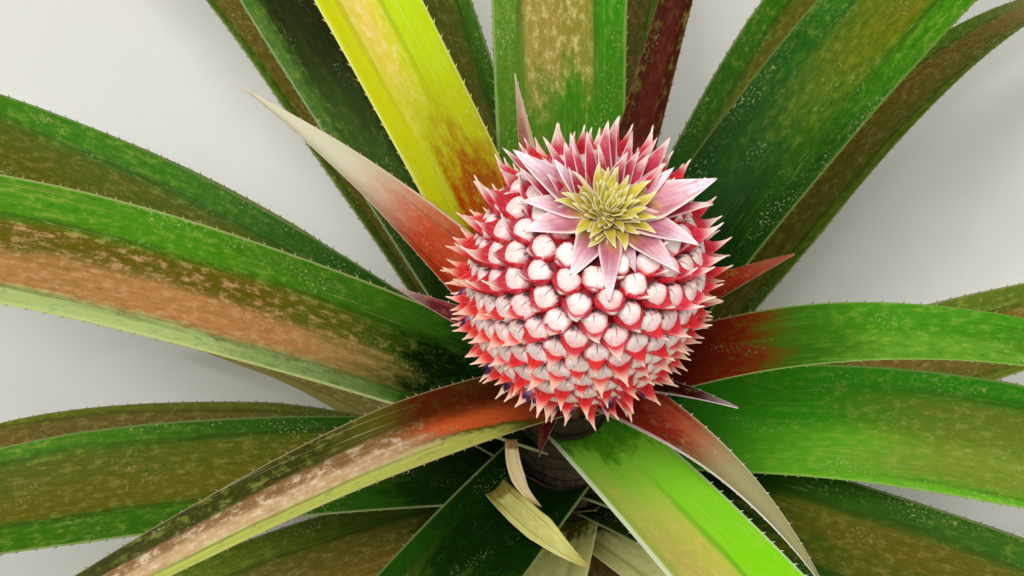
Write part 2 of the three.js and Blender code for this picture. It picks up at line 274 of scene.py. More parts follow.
# The range that the older leaves' colours are mixed from, with feet partly in painted shade, and the colour
# of those that have died: straw, made brighter as painted light where the leaves above shade them
LOWER_LOOK_GREEN = look(
    "2c6408 34700a 54500c 4c500c 746c2c 0c2804 1c4806 80703c 8c985c", 0.0, 0.5, 0.14, 0.14, 0.14
)
LOWER_LOOK_BROWN = look(
    "606c20 707420 805c28 74602c a08450 2c2c0c 444c12 ac9060 a09468", 0.05, 0.62, 0.1, 0.16, 0.14
)
PAINTED_LIGHT_STRAW_LOOK = look(
    "f0ec9c f0ec9c e8e494 e8e494 f8f4bc 5c5c20 c0bc6c c8a874 dcd4a0", 0.0, 0.5, 0.0, 0.02, 0.03
)
STRAW_LEAVES = (19, 25)
STALK_LOOKS = [
    look("a06450 c4a890 904034 a06050 c89c88 a02c1c 943c2c d0b8a0 dcc8b0", 0.0, 0.35, 0.1, 0.22, 0.1),
    look("843434 8c3c3c 5c2028 5c2028 946058 8c1c24 6c1c20 c0a8a0 e4d8d0", 0.0, 0.5, 0.1, 0.3, 0.1),
    look("8c2810 842c14 942410 8c2410 a45040 802008 8c2008 8c4c38 a07860",
         0.0, 0.4, 0.1, 0.25, 0.1),
    look("401018 4c1420 30080c 30080c 502028 641014 4c0c10 a09090 e4dcd8",
         0.0, 0.4, 0.1, 0.3, 0.1, hem=0.66),
    look("b8502c c88058 b44020 b84c28 cc6844 9c200c a83014 c8c4a8 d4c4a0",
         0.05, 0.55, 0.0, 0.3, 0.12, tip_start=0.42, hem=0.9),
    look("5c1818 5c1818 481014 481014 602c28 641018 541014 54301c 6c4838", 0.0, 0.4, 0.1, 0.4, 0.1),
    look("ac5030 741c10 a8482c 8c2c1c b06844 94240c 942c14 8c885c e4e0d4",
         0.2, 0.55, 0.1, 0.24, 0.1, tip_start=0.34, hem=0.74),
    look("3c1c08 381808 441408 441408 542818 4c1404 3c1008 8c7850 6c5438", 0.0, 0.5, 0.05, 0.22, 0.1),
]
DRY_LOOKS = [
    look("bcac64 ccc080 ac9850 ac9850 dcd0a0 64502c 8c743c b89c60 d8c894", 0.0, 0.5, 0.0, 0.16, 0.1),
    look("bca06c b09460 a08450 a08450 d4c094 503c20 745c34 c0a470 d0c098", 0.1, 0.4, 0.0, 0.2, 0.1),
]
SHEATH_LOOK = look("6c5430 604a2c 4c3a20 44341c 8c7448 2c2010 3c2c18 a08858 8c7850", 0.0, 0.5, 0.0, 0.3, 0.2)

# Loose dead strips under the fruit: a tan one that curls down beside the stem and a straw one that lies over
# the leaves below it, each with its name, where it starts, its shape and its look
SCRAPS = [
    (
        "curled_scrap", (-23.5, -19, 149), (-88, 0, -22, -36, 33, 6.5, 66),
        look("f0dcac ecd4a0 e8d09c e8d09c f4e4bc 8c6c40 dcc490 b89c6c c8a878", 0.0, 0.5, 0.0, 0.12, 0.1),
    ),
    (
        "straw_scrap", (-30.4, -35.8, 134), (-48, 0, 18, -32, 54, 13, 22),
        look("ccc874 d0cc7c c4c070 c4c070 dcd89c 7c7030 a09848 a89c50 dcd894", 0.0, 0.5, 0.0, 0.1, 0.1),
    ),
]

DRY_LEAF_SLOT = "dry_leaf_blade"
FRUIT_SLOT = "fruit_rind"
CROWN_SLOT = "crown_bract"


def tone(name, description, code):
    """A setting that holds a colour"""
    return FloatVectorProperty(
        name=name, description=description, subtype="COLOR", size=4, default=colour(code)
    )


def measure(name, description, metres):
    """A setting that holds a length"""
    return FloatProperty(name=name, description=description, default=metres, unit="LENGTH")


def strength(name, description, default):
    """A setting that holds a light's strength"""
    return FloatProperty(name=name, description=description, default=default, min=0)


def count(name, description, default):
    """A setting that holds a whole number"""
    return IntProperty(name=name, description=description, default=default, min=3)


class PineappleLeafSettings(PropertyGroup):
    """Sizes of the leaves' finer form"""

    rows: count("Rows", "Rows of faces along a leaf", 64)
    sides: count("Sides", "Faces round a leaf's section", 24)
    wave: measure("Wave", "Height of the waves along the margins", 2.4 * MM)
    wave_pitch: measure("Wave pitch", "Length of one wave", 85 * MM)
    tooth_length: measure("Tooth length", "Length of a marginal tooth", 2.3 * MM)
    tooth_pitch: measure("Tooth pitch", "Distance between marginal teeth", 6.5 * MM)
    middle_thickness: measure("Thickness", "Thickness in the middle of a leaf's foot", 4.2 * MM)
    underside: tone("Underside", "Silvery colour of the undersides", "8fa27c")


class PineappleFruitSettings(PropertyGroup):
    """Colours and sizes of the fruit"""

    dome: tone("Dome", "Mealy white of the eyes", "f4ecea")
    blush: tone("Blush", "Pink of the eyes' lower side", "dc4854")
    # The seam colour also paints the soot and the painted shade on the eyes' upper rims
    seam: tone("Seam", "Dark seams of the eyes", "54474a")
    bract: tone("Bract", "Red of the bracts", "c00818")
    petal: tone("Petal", "Violet of the petals", "34083c")
    petal_length: measure("Petal length", "How far a petal stands out", 5 * MM)


class PineappleCrownSettings(PropertyGroup):
    """Numbers and colours of the crown bud"""

    back_bracts: count("Back bracts", "Narrow bracts behind the star", 28)
    rosette_bracts: count("Rosette bracts", "Small bracts inside", 84)
    star: tone("Star", "Pale pink of the large bracts", "d08c94")
    rosette: tone("Rosette", "Yellow-green of the small bracts", "d4cc40")


class PineappleStemSettings(PropertyGroup):
    """Sizes and colours of the stem and the stalk"""

    scars: count("Scars", "Leaf scars up the stem", 22)
    stubs: count("Stubs", "Dry stubs of lost leaves", 26)
    # The stem's brown is kept dark as painted shade under the leaves
    bark: tone("Bark", "Brown of the stem", "33261a")
    stalk: tone("Stalk", "Colour of the fruit's stalk", "5c3c24")


class PineappleStageSettings(PropertyGroup):
    """The floor, the light and the camera"""

    floor: tone("Floor", "Pale colour of the floor", "dddcd6")
    floor_size: measure("Floor size", "Side of the floor", 8.0)
    key_power: strength("Key light", "Power of the large soft light", 46.0)
    fill_power: strength("Fill light", "Power of the light opposite", 12.0)
    sky: strength("Sky", "Strength of the light from all round", 0.5)
    camera_height: measure("Camera height", "Height of the camera", 0.688)


def swell(share):
    """How much of its full width a blade has near its foot"""
    return min(1, lerp(BASE_WIDTH_SHARE, 1, share / WIDEST_AT))


@dataclass
class Blade:
    """A blade's line, width, channel and waves, in millimetres and degrees. Its points are in metres."""

    azimuth: float
    foot: float
    rise: float
    fall: float
    length: float
    width: float
    drift: float = 0.0
    taper_from: float = TAPER_FROM
    foot_radius: float = 0.0
    thickness: float = 1.0
    wave: float = 0.0
    wave_pitch: float = 85.0
    seed: int = 0

    def __post_init__(self):
        start = radians(self.azimuth)
        radius = self.foot_radius
        self.line = [Vector((radius * cos(start), radius * sin(start), self.foot))]
        for i in range(LINE_STEPS):
            step = self.forward((i + 0.5) / LINE_STEPS) * (self.length / LINE_STEPS)
            self.line.append(self.line[-1] + step)

    def heading(self, share):
        return radians(self.azimuth + self.drift * share**DRIFT_POWER)

    def forward(self, share):
        heading = self.heading(share)
        slope = radians(lerp(self.rise, self.fall, share**BEND_POWER))
        flat = cos(slope)
        return Vector((flat * cos(heading), flat * sin(heading), sin(slope)))

    def frame(self, share):
        """The middle of the blade at that share of its length, with its sideways and upward directions"""
        place = clamp(share) * LINE_STEPS
        i = min(int(place), LINE_STEPS - 1)
        centre = self.line[i].lerp(self.line[i + 1], place - i)
        heading = self.heading(share)
        side = Vector((-sin(heading), cos(heading), 0))
        return centre, side, self.forward(share).cross(side)

    def width_at(self, share):
        taper = min(1, max(1 - share, 0) / (1 - self.taper_from)) ** TAPER_POWER
        return self.width * max(swell(share) * taper, TIP_WIDTH_SHARE)

    def arc_at(self, share):
        """Half the angle of the channel's arc"""
        return radians(lerp(BLADE_ARC, BASE_ARC, exp(-ARC_FLATTENING * share)))

    def lift_at(self, across, share):
        """How far the waves lift the blade, most at its margins"""
        if not self.wave:
            return 0.0
        along = share * self.length / self.wave_pitch
        ripple = noise.noise(Vector((along, across * 0.7, self.seed * 7.3)))
        crease = noise.noise(Vector((along * 0.4, 3.1, self.seed * 5.7)))
        envelope = smooth(share, 0.06, 0.3) * abs(across) ** 1.6
        return self.wave * (ripple * envelope + 0.6 * crease * smooth(share, 0.05, 0.4))

    def point(self, across, level, share):
        """A point of the blade: -1 to 1 across, -1 to 1 from underside to top and 0 to 1 along"""
        centre, side, up = self.frame(share)
        arc = self.arc_at(share)
        radius = self.width_at(share) / (2 * arc)
        turn = arc * across
        normal = up * cos(turn) - side * sin(turn)
        place = centre + side * (radius * sin(turn)) + up * (radius * (1 - cos(turn)))
        thickness = self.thickness * (1 - TIP_THINNING * share**BEND_POWER)
        place += normal * (level * thickness / 2) + up * self.lift_at(across, share)
        return place * MM


class StalkBlade(Blade):
    """A short pointed leaf of the stalk"""

    def width_at(self, share):
        return self.width * max(swell(share) * max(1 - share, 0) ** 0.9, TIP_WIDTH_SHARE)

    def arc_at(self, share):
        return radians(lerp(46, 68, share))


class EyeBract(Blade):
    """A bract that cups an eye from below and runs out in a long point"""

    def width_at(self, share):
        shoulder = lerp(1.0, 0.32, smooth(share, 0.4, 0.54))
        return self.width * max(shoulder * min(1, (1 - share) / 0.46) ** 1.4, TIP_WIDTH_SHARE)

    def arc_at(self, share):
        return radians(lerp(BRACT_ARC, 36, smooth(share, 0.42, 0.62)))


class CrownBract(Blade):
    """A spearhead bract of the crown, widest a third of the way up"""

    def width_at(self, share):
        swell = lerp(0.72, 1, smooth(share, 0, 0.32))
        return self.width * max(swell * clamp((1 - share) / 0.66) ** 0.9, 0.025)

    def arc_at(self, share):
        return radians(lerp(48, 22, share))


def new_bmesh():
    """An empty bmesh with the maps that a blade's material reads"""
    bm = bmesh.new()
    bm.loops.layers.uv.new("Blade")
    bm.loops.layers.uv.new("Span")
    bm.faces.layers.float.new("under")
    return bm


def made_mesh(bm, name):
    """The finished mesh of a bmesh"""
    mesh = bpy.data.meshes.new(name)
    bm.to_mesh(mesh)
    bm.free()
    return mesh


def bar_template(sides, rows):
    """A mesh of a closed round bar, with across and level in X and Y and the share of its length in Z"""
    bm = new_bmesh()
    bmesh.ops.create_cone(bm, cap_ends=True, segments=sides, radius1=1, radius2=1, depth=1)
    long_edges = [e for e in bm.edges if abs(e.verts[0].co.z - e.verts[1].co.z) > 0.5]
    bmesh.ops.subdivide_edges(bm, edges=long_edges, cuts=rows - 1, use_grid_fill=True)
    bmesh.ops.translate(bm, verts=bm.verts, vec=(0, 0, 0.5))
    blade_map = bm.loops.layers.uv["Blade"]
    under = bm.faces.layers.float["under"]
    for face in bm.faces:
        face[under] = 1.0 if face.calc_center_median().y < 0 else 0.0
        for loop in face.loops:
            loop[blade_map].uv = ((loop.vert.co.x + 1) / 2, loop.vert.co.z)
    return made_mesh(bm, "bar_template")


def add_copy(bm, template):
    """Appends the template mesh to bm and returns the new vertices and faces"""
    vertex_count = len(bm.verts)
    face_count = len(bm.faces)
    bm.from_mesh(template)
    bm.verts.ensure_lookup_table()
    bm.faces.ensure_lookup_table()
    return bm.verts[vertex_count:], bm.faces[face_count:]


def add_blade(bm, template, blade, place=None):
    """Appends a bar bent into the blade, moved by the matrix place, and returns its faces"""
    verts, faces = add_copy(bm, template)
    blade_map = bm.loops.layers.uv["Blade"]
    span_map = bm.loops.layers.uv["Span"]
    for face in faces:
        face.smooth = True
        for loop in face.loops:
            across, share = loop[blade_map].uv
            loop[span_map].uv = ((across - 0.5) * blade.width_at(share) * MM, share * blade.length * MM)
    for vert in verts:
        across, level, share = vert.co
        vert.co = blade.point(across, copysign(abs(level) ** SECTION_POWER, level), share)
    if place is not None:
        bmesh.ops.transform(bm, matrix=place, verts=verts)
    return faces


def add_teeth(bm, blade, pitch, length):
    """Small hooked teeth along both margins, pointing outwards and towards the tip"""
    blade_map = bm.loops.layers.uv["Blade"]
    number = int(blade.length * MM * (LAST_TOOTH - FIRST_TOOTH) / pitch)
    for margin in (-1, 1):
        for i in range(number):
            shift = 0.3 * noise.noise(Vector((i * 0.9, margin, blade.seed)))
            share = lerp(FIRST_TOOTH, LAST_TOOTH, (i + 0.5 + shift) / number)
            root = blade.point(margin, 0, share)
            outward = (root - blade.point(margin * 0.85, 0, share)).normalized()
            way = (outward + blade.forward(share) * TOOTH_LEAN).normalized()
            change = 0.8 + 0.4 * abs(noise.noise(Vector((i * 1.7, 2, blade.seed))))
            size = length * lerp(1.0, 0.6, share) * change
            turn = way.to_track_quat("Z", "Y").to_matrix().to_4x4()
            place = Matrix.Translation(root) @ turn @ Matrix.Translation((0, 0, size * TOOTH_SEAT))
            face_count = len(bm.faces)
            bmesh.ops.create_cone(
                bm, cap_ends=True, segments=3, radius1=size * TOOTH_RADIUS, radius2=0, depth=size,
                matrix=place,
            )
            bm.faces.ensure_lookup_table()
            for face in bm.faces[face_count:]:
                for loop in face.loops:
                    loop[blade_map].uv = ((margin + 1) / 2, share)


def add_marks(bm):
    """Gives the faces the two values that the eyes' and the bracts' materials read"""
    return bm.faces.layers.float.new("height"), bm.faces.layers.float.new("shade")


def mark(faces, layers, *values):
    """Writes the values on the faces, one in each layer"""
    for face in faces:
        for layer, value in zip(layers, values):
            face[layer] = value


def finish_piece(bm, name, material, slot, *nodes):
    """Makes a piece of the bmesh, in place of those CAD nodes"""
    piece = bpy.data.objects.new(name, made_mesh(bm, name))
    bpy.context.scene.collection.objects.link(piece)
    piece.data.materials.append(material)
    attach(piece, "root")
    if nodes:
        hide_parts(*nodes)


class Shader:
    """A material and its skin colour so far, with a short call for each kind of node that the plant needs.

    Wherever a colour goes in, a hexadecimal code does too. Distances are in millimetres.
    """

    def __init__(self, name):
        self.material = bpy.data.materials.new(name)
        self.material.use_nodes = True
        self.tree = self.material.node_tree
        self.principled = self.tree.nodes["Principled BSDF"]
        self.skin = None

    def put(self, socket, value):
        """Links value to the socket if it is an output, and sets it otherwise"""
        if isinstance(value, bpy.types.NodeSocket):
            self.tree.links.new(value, socket)
        else:
            socket.default_value = colour(value) if isinstance(value, str) else value

    def node(self, kind, inputs=(), **settings):
        """The outputs of a new node with those settings, fed with those inputs"""
        made = self.tree.nodes.new("ShaderNode" + kind)
        for key, value in settings.items():
            setattr(made, key, value)
        for key, value in dict(inputs).items():
            self.put(made.inputs[key], value)
        return made.outputs

    def uv(self, name):
        return self.node("UVMap", uv_map=name)[0]

    def attribute(self, name):
        return self.node("Attribute", attribute_name=name)["Fac"]

    def place(self):
        return self.node("TexCoord")["Object"]

    def parts(self, vector):
        return self.node("SeparateXYZ", {0: vector})

    def stretched(self, vector, y, z=1.0):
        return self.node("VectorMath", {0: vector, 1: (1.0, y, z)}, operation="MULTIPLY")[0]

    def math(self, operation, *values):
        return self.node("Math", enumerate(values), operation=operation)[0]

    def times(self, first, second):
        return self.math("MULTIPLY", first, second)

    def plus(self, first, second):
        return self.math("ADD", first, second)

    def scaled(self, value, factor, more):
        return self.math("MULTIPLY_ADD", value, factor, more)

    def far(self, value, centre=None):
        """How far value is from centre, either way"""
        return self.math("ABSOLUTE", value if centre is None else self.math("SUBTRACT", value, centre))

    def ramp(self, value, low, high, to_low=0.0, to_high=1.0):
        """An even curve from to_low to to_high as value goes from low to high"""
        inputs = enumerate((value, low, high, to_low, to_high))
        return self.node("MapRange", inputs, interpolation_type="SMOOTHSTEP")[0]

    def noise(self, vector, scale, detail=3.0, roughness=0.55):
        inputs = {"Vector": vector, "Scale": scale, "Detail": detail, "Roughness": roughness}
        return self.node("TexNoise", inputs)["Fac"]

    def mix(self, share, low, high):
        return self.node("Mix", {0: share, 6: low, 7: high}, data_type="RGBA")[2]

    def toned(self, share, other):
        """The skin with that share of the other colour"""
        return self.mix(share, self.skin, other)

    def tint(self, share, other):
        """Lays the other colour over the skin, as thickly as share says"""
        self.skin = self.toned(share, other)

    def wash(self, value, low, high, other, most=1.0):
        """Lays the other colour over the skin, from none where value is low to most where it is high"""
        self.tint(self.ramp(value, low, high, 0.0, most), other)

    def bump(self, height, distance, strength, under=None):
        inputs = {"Strength": strength, "Distance": distance * MM, "Height": height}
        if under is not None:
            inputs["Normal"] = under
        return self.node("Bump", inputs)[0]

    def finish(self, rough, normal, specular):
        """The material, with the skin, the roughness and the bumps on its own shader"""
        keys = ("Base Color", "Roughness", "Normal", "Specular IOR Level")
        for key, value in zip(keys, (self.skin, rough, normal, specular)):
            self.put(self.principled.inputs[key], value)
        return self.material


def leaf_material(name, look, underside, scurf=0.6):
    """A leaf's skin: two sides, a mottled middle band, a tinted foot and tip, scurf and a margin line"""
    s = Shader(name)
    span = s.uv("Span")
    across, along, _ = s.parts(s.uv("Blade"))
    across = s.scaled(across, 2, -1)
    clouds = s.noise(s.stretched(span, 0.2), 45, 4, 0.6)
    flecks = s.noise(s.stretched(span, 0.5), 330, 5, 0.72)
    streaks = s.noise(s.stretched(span, 0.02), 800, 3, 0.7)
    specks = s.noise(s.stretched(span, 0.8), 800, 3, 0.6)
    light = s.ramp(flecks, 0.48, 0.66)
    dark = s.ramp(flecks, 0.47, 0.32)
    ragged = s.scaled(clouds, 1, -0.5)
    torn = s.scaled(flecks, 0.3, -0.15)
    ragged_across = s.plus(across, ragged)
    ragged_along = s.plus(along, s.times(s.plus(ragged, torn), 0.2))
    # The two sides, with painted shade over the zone after the base
    s.skin = s.mix(s.ramp(ragged_across, -0.2, 0.2), look["minus"], look["plus"])
    s.tint(s.times(light, 0.6), s.toned(0.4, "b4bc4c"))
    s.tint(s.times(dark, 0.7), s.toned(0.55, look["deep"]))
    reach = look["base_reach"]
    spared = s.plus(s.times(across, look["spared_side"]), torn)
    along_side = s.plus(ragged_along, s.ramp(spared, 0.15, 0.75, 0, reach * 0.7))
    s.skin = s.mix(s.ramp(along_side, reach, reach + look["deep_reach"] + 0.1), look["deep"], s.skin)
    # The middle band with its flecks, and painted shade in the crease along each of its edges
    middle, half, start, fade = (look[key] for key in ("middle", "half", "start", "fade"))
    offset = s.far(s.scaled(ragged, 0.35, across), middle)
    begun = s.ramp(ragged_along, start - fade / 2, start + fade)
    band = s.times(s.ramp(s.plus(offset, torn), half + 0.12, half - 0.1), begun)
    half_way = s.ramp(ragged_across, middle - 0.15, middle + 0.12)
    stripe = s.mix(half_way, look["band_minus"], look["band"])
    mottled = s.mix(s.times(light, 0.75), stripe, look["mottle"])
    mottled = s.mix(s.times(dark, 0.75), mottled, s.mix(0.5, mottled, look["deep"]))
    mottled = s.mix(s.ramp(clouds, 0.5, 0.3, 0, 0.4), mottled, s.mix(0.4, mottled, look["deep"]))
    s.tint(s.times(band, 0.93), mottled)
    crease = s.times(s.ramp(s.far(offset, half + 0.06), 0.09, 0.01), begun)
    s.tint(s.times(crease, s.ramp(streaks, 0.3, 0.6, 0.2, 0.6)), s.toned(0.7, "1c1408"))
    # Fine lengthwise veins
    s.wash(streaks, 0.3, 0.72, s.toned(0.45, look["deep"]), 0.4)
    veins = s.noise(s.stretched(span, 0.012), 1300, 2)
    s.wash(veins, 0.6, 0.72, look["mottle"], 0.22)
    # The foot, its own tint with painted shade near the stem, and the tip
    foot = s.mix(s.ramp(ragged_across, 0.15, -0.5), look["base"], look["base_minus"])
    foot = s.mix(s.times(light, 0.5), foot, s.toned(0.4, foot))
    foot = s.mix(s.times(dark, 0.5), foot, s.mix(0.5, foot, "200c04"))
    foot = s.mix(s.ramp(clouds, 0.5, 0.72, 0, 0.3), foot, look["deep"])
    s.wash(along_side, reach + 0.02, reach * 0.75, foot)
    s.wash(ragged_along, look["tip_start"], look["tip_start"] + 0.3, look["tip"])
    # Pale scurf in clustered specks and scratches
    cluster = s.ramp(s.noise(s.stretched(span, 0.35), 60, 3), 0.5, 0.68)
    spots = s.times(s.ramp(specks, 0.54, 0.68), cluster)
    scratches = s.ramp(s.noise(s.stretched(span, 0.06), 520, 4, 0.7), 0.64, 0.74)
    meal = s.math("MAXIMUM", spots, s.times(scratches, 0.5))
    s.tint(s.times(meal, scurf), s.toned(0.6, "dce0a4"))
    # The margin's line
    low_edge = s.ramp(across, -look["hem"], -look["hem"] - 0.04)
    s.tint(s.times(s.math("MAXIMUM", s.ramp(across, 0.955, 0.99), low_edge), 0.75), look["margin"])
    # The silvery underside, with lengthwise lines
    silver = s.mix(s.ramp(streaks, 0.35, 0.65), underside, s.mix(0.55, underside, s.skin))
    s.tint(s.times(s.attribute("under"), 0.8), silver)
    rough = s.ramp(s.plus(clouds, meal), 0.3, 1.2, 0.45, 0.72)
    normal = s.bump(s.plus(flecks, s.times(meal, 0.6)), 0.3, 0.6, s.bump(streaks, 0.4, 0.6))
    return s.finish(rough, normal, specular=0.05)


def bract_material(settings):
    """Red bracts of the fruit, with painted shade where they cup the eye and pale at the point"""
    s = Shader("fruit_bract_red")
    along = s.parts(s.uv("Blade"))[1]
    height = s.attribute("height")
    shade = s.attribute("shade")
    grain = s.noise(s.stretched(s.uv("Span"), 0.15), 1400)
    cloud = s.noise(s.place(), 90)
    red = s.mix(s.ramp(cloud, 0.35, 0.65), settings.bract, "d41c1c")
    red = s.mix(s.times(shade, 0.4), red, "a80c34")
    # Painted shade at the foot, where the bract cups the eye from below
    s.skin = s.mix(s.ramp(along, 0.05, 0.3), "8c0c20", red)
    reach = s.scaled(height, 0.02, s.scaled(shade, 0.24, along))
    s.wash(reach, 0.52, 0.8, s.mix(height, "d42c24", "c83450"))
    s.wash(reach, 0.7, 1, s.mix(height, "f4c8b0", "f6e6dc"))
    s.wash(along, 0.96, 1, "b89c74", 0.7)
    s.wash(grain, 0.5, 0.8, "f6ccc4", 0.3)
    return s.finish(s.ramp(cloud, 0.3, 0.7, 0.38, 0.55), s.bump(grain, 0.2, 0.5), specular=0.35)


def dome_material(settings):
    """Mealy eyes: white with pink below, a short dark seam and an upper rim of soot and painted shade"""
    s = Shader("fruit_eye_mealy")
    x, y, _ = s.parts(s.uv("Eye"))
    x = s.scaled(x, 2, -1)
    y = s.scaled(y, 2, -1)
    height = s.attribute("height")
    shade = s.attribute("shade")
    meal = s.noise(s.place(), 800, 4, 0.7)
    cloud = s.noise(s.place(), 160, 4, 0.6)
    round_far = s.math("SQRT", s.plus(s.times(x, x), s.times(y, y)))
    square_far = s.math("MAXIMUM", s.far(x), s.far(y))
    far = s.times(s.plus(round_far, square_far), 0.5)
    # Soft furrows that run down from the upper rim
    rays = s.node("CombineXYZ", enumerate((s.times(x, 3.4), s.times(y, 0.35), shade)))[0]
    furrows = s.noise(rays, 3.2, 3, 0.65)
    s.skin = s.mix(s.ramp(cloud, 0.35, 0.7), settings.dome, "ead6cc")
    s.tint(s.times(shade, 0.5), "f2ccca")
    s.wash(furrows, 0.52, 0.75, "b8a09c", 0.45)
    s.tint(s.ramp(height, 0.2, 0.65, 0.5, 0), "f8c0ac")
    s.tint(s.times(s.ramp(far, 0.68, 1), s.ramp(y, 0.7, -0.2, 0.3, 0.85)), settings.blush)
    # The upper rim: soot, and painted shade where the eye above overhangs it
    rim = s.times(s.ramp(s.scaled(cloud, 0.12, far), 1, 1.05), s.ramp(y, 0.5, 0.85))
    s.tint(s.times(rim, s.ramp(height, 0.3, 0.6, 0.25, 0.95)), settings.seam)
    line = s.times(s.ramp(s.far(x), 0.09, 0.01), s.ramp(y, 0.15, 0.7))
    s.tint(s.times(line, 0.7), settings.seam)
    s.wash(meal, 0.5, 0.68, "fdf6f2", 0.65)
    soot = s.times(s.ramp(meal, 0.4, 0.3), s.ramp(cloud, 0.45, 0.6))
    s.tint(s.times(soot, s.ramp(height, 0.3, 0.7, 0.2, 0.9)), settings.seam)
    normal = s.bump(furrows, 0.6, 0.5, s.bump(meal, 0.3, 0.6))
    return s.finish(s.ramp(meal, 0.3, 0.7, 0.62, 0.85), normal, specular=0.25)


def core_material():
    """Red flesh between the eyes, darkened as painted shade in the gaps"""
    s = Shader("fruit_core_red")
    cloud = s.noise(s.place(), 300, 4)
    s.skin = s.mix(s.ramp(cloud, 0.35, 0.7), "6c0418", "b01428")
    return s.finish(s.ramp(cloud, 0.3, 0.7, 0.5, 0.75), s.bump(cloud, 0.5, 0.6), specular=0.35)


def petal_material(settings):
    """Violet petals, paler at the foot"""
    s = Shader("flower_petal_violet")
    along = s.parts(s.uv("Blade"))[1]
    grain = s.noise(s.stretched(s.uv("Span"), 0.1), 2000, 2)
    s.skin = s.mix(s.ramp(along, 0.05, 0.5), "c88cb8", settings.petal)
    s.wash(grain, 0.4, 0.7, "701c74", 0.4)
    return s.finish(s.ramp(grain, 0.3, 0.7, 0.4, 0.6), s.bump(grain, 0.1, 0.5), specular=0.4)


def crown_material(name, foot, middle, tip, tip_from, streak):
    """Crown bracts that change colour from foot to tip, with rosy streaks and pale margins"""
    s = Shader(name)
    across, along, _ = s.parts(s.uv("Blade"))
    side = s.far(s.scaled(across, 2, -1))
    cloud = s.noise(s.place(), 150, 4, 0.6)
    lines = s.noise(s.stretched(s.uv("Span"), 0.06), 1000, 3, 0.65)
    ragged = s.plus(along, s.scaled(cloud, 0.5, -0.25))
    s.skin = s.mix(s.ramp(ragged, 0.2, tip_from), foot, middle)
    s.tint(s.ramp(s.noise(s.place(), 55, 2), 0.46, 0.58, 0, 0.65), streak)
    s.wash(ragged, tip_from - 0.05, 0.95, tip)
    lined = s.times(s.ramp(lines, 0.42, 0.68, 0, 0.75), s.ramp(along, 0.15, 0.4))
    s.tint(lined, s.toned(0.65, streak))
    s.wash(cloud, 0.5, 0.7, streak, 0.4)
    s.wash(side, 0.7, 1, "f8efe8", 0.6)
    s.wash(along, 0.95, 1, "a88a5c", 0.7)
    return s.finish(s.ramp(cloud, 0.3, 0.7, 0.5, 0.7), s.bump(lines, 0.3, 0.6), specular=0.3)


def bark_material(settings):
    """Fibrous brown stem with darker rings where leaves have come off, darkened as painted shade"""
    s = Shader("stem_bark_brown")
    place = s.place()
    z = s.parts(place)[2]
    fibre = s.noise(s.stretched(place, 1, 0.12), 420, 5, 0.65)
    cloud = s.noise(place, 45, 4)
    rings = s.math("SINE", s.times(z, 2 * pi * settings.scars / (STEM_HEIGHT * MM)))
    ring = s.ramp(s.plus(rings, s.scaled(cloud, 1.6, -0.8)), 0.4, 1)
    # The stem's browns and dark blotches are kept dark as painted shade under the leaves
    s.skin = s.mix(s.ramp(fibre, 0.35, 0.7), settings.bark, "5c4a30")
    s.wash(cloud, 0.4, 0.7, "1c140c", 0.6)
    s.tint(s.times(ring, 0.7), "120c06")
    # Painted shade over the stem's top, under the leaves and the fruit
    s.wash(z, 0.1, 0.155, "2c2810", 0.5)
    normal = s.bump(fibre, 0.8, 0.8, s.bump(ring, 0.8, 0.7))
    return s.finish(s.ramp(fibre, 0.3, 0.7, 0.75, 0.92), normal, specular=0.3)


def stalk_material(settings):
    """Ribbed stalk, reddish under the fruit"""
    s = Shader("stalk_skin_tan")
    place = s.place()
    ribs = s.noise(s.stretched(place, 1, 0.05), 500)
    cloud = s.noise(place, 80)
    s.skin = s.mix(s.ramp(cloud, 0.35, 0.7), settings.stalk, "6c3420")
    s.tint(s.ramp(s.parts(place)[2], 0.17, 0.21, 0, 0.7), "8c2c24")
    s.wash(ribs, 0.5, 0.75, "9c8050", 0.4)
    return s.finish(s.ramp(cloud, 0.3, 0.7, 0.5, 0.7), s.bump(ribs, 0.4, 0.7), specular=0.4)


def floor_material(settings):
    """A plain pale floor with a faint grain"""
    s = Shader("stage_floor_pale")
    grain = s.noise(s.place(), 30, 4)
    s.skin = s.mix(s.ramp(grain, 0.3, 0.7, 0, 0.12), settings.floor, "c9c7c0")
    return s.finish(s.ramp(grain, 0.3, 0.7, 0.75, 0.85), s.bump(grain, 0.3, 0.2), specular=0.3)


def grow_leaves(kind, first, rows, looks, settings, slot, template, seed, form=Blade, underside=None,
                scurf=0.6, toothed=True, **facts):
    """A piece for each leaf of a kind, in place of its node, with the settings' waves and thickness where
    facts give no others"""
    facts = {"wave": settings.wave / MM, "wave_pitch": settings.wave_pitch / MM, **facts}
    full = settings.middle_thickness / MM
    for i, (row, look) in enumerate(zip(rows, looks)):
        name = f"{kind}_{first + i:02d}"
        blade = form(*row, seed=seed + i, **facts)
        size = blade.length / FULL_THICKNESS_LENGTH
        blade.thickness = facts.get("thickness", max(full * size, LEAST_THICKNESS))
        bm = new_bmesh()
        add_blade(bm, template, blade)
        if toothed:
            add_teeth(bm, blade, settings.tooth_pitch, settings.tooth_length)
        material = leaf_material("skin_of_" + name, look, underside or settings.underside, scurf)
        finish_piece(bm, name + "_blade", material, slot, name)


class PINEAPPLE_OT_upper_leaves(Operator):
    """Build the long upper leaves, each in its own colours"""

    bl_idname = "pineapple.upper_leaves"
    bl_label = "Upper leaves"

    def execute(self, context):
        settings = context.scene.pineapple_leaf
        template = bar_template(settings.sides, settings.rows)
        grow_leaves(
            "leaf", 1, UPPER_LEAVES, UPPER_LOOKS, settings, "leaf_blade", template, seed=0,
            foot_radius=STALK_RADIUS,
        )
        return {"FINISHED"}


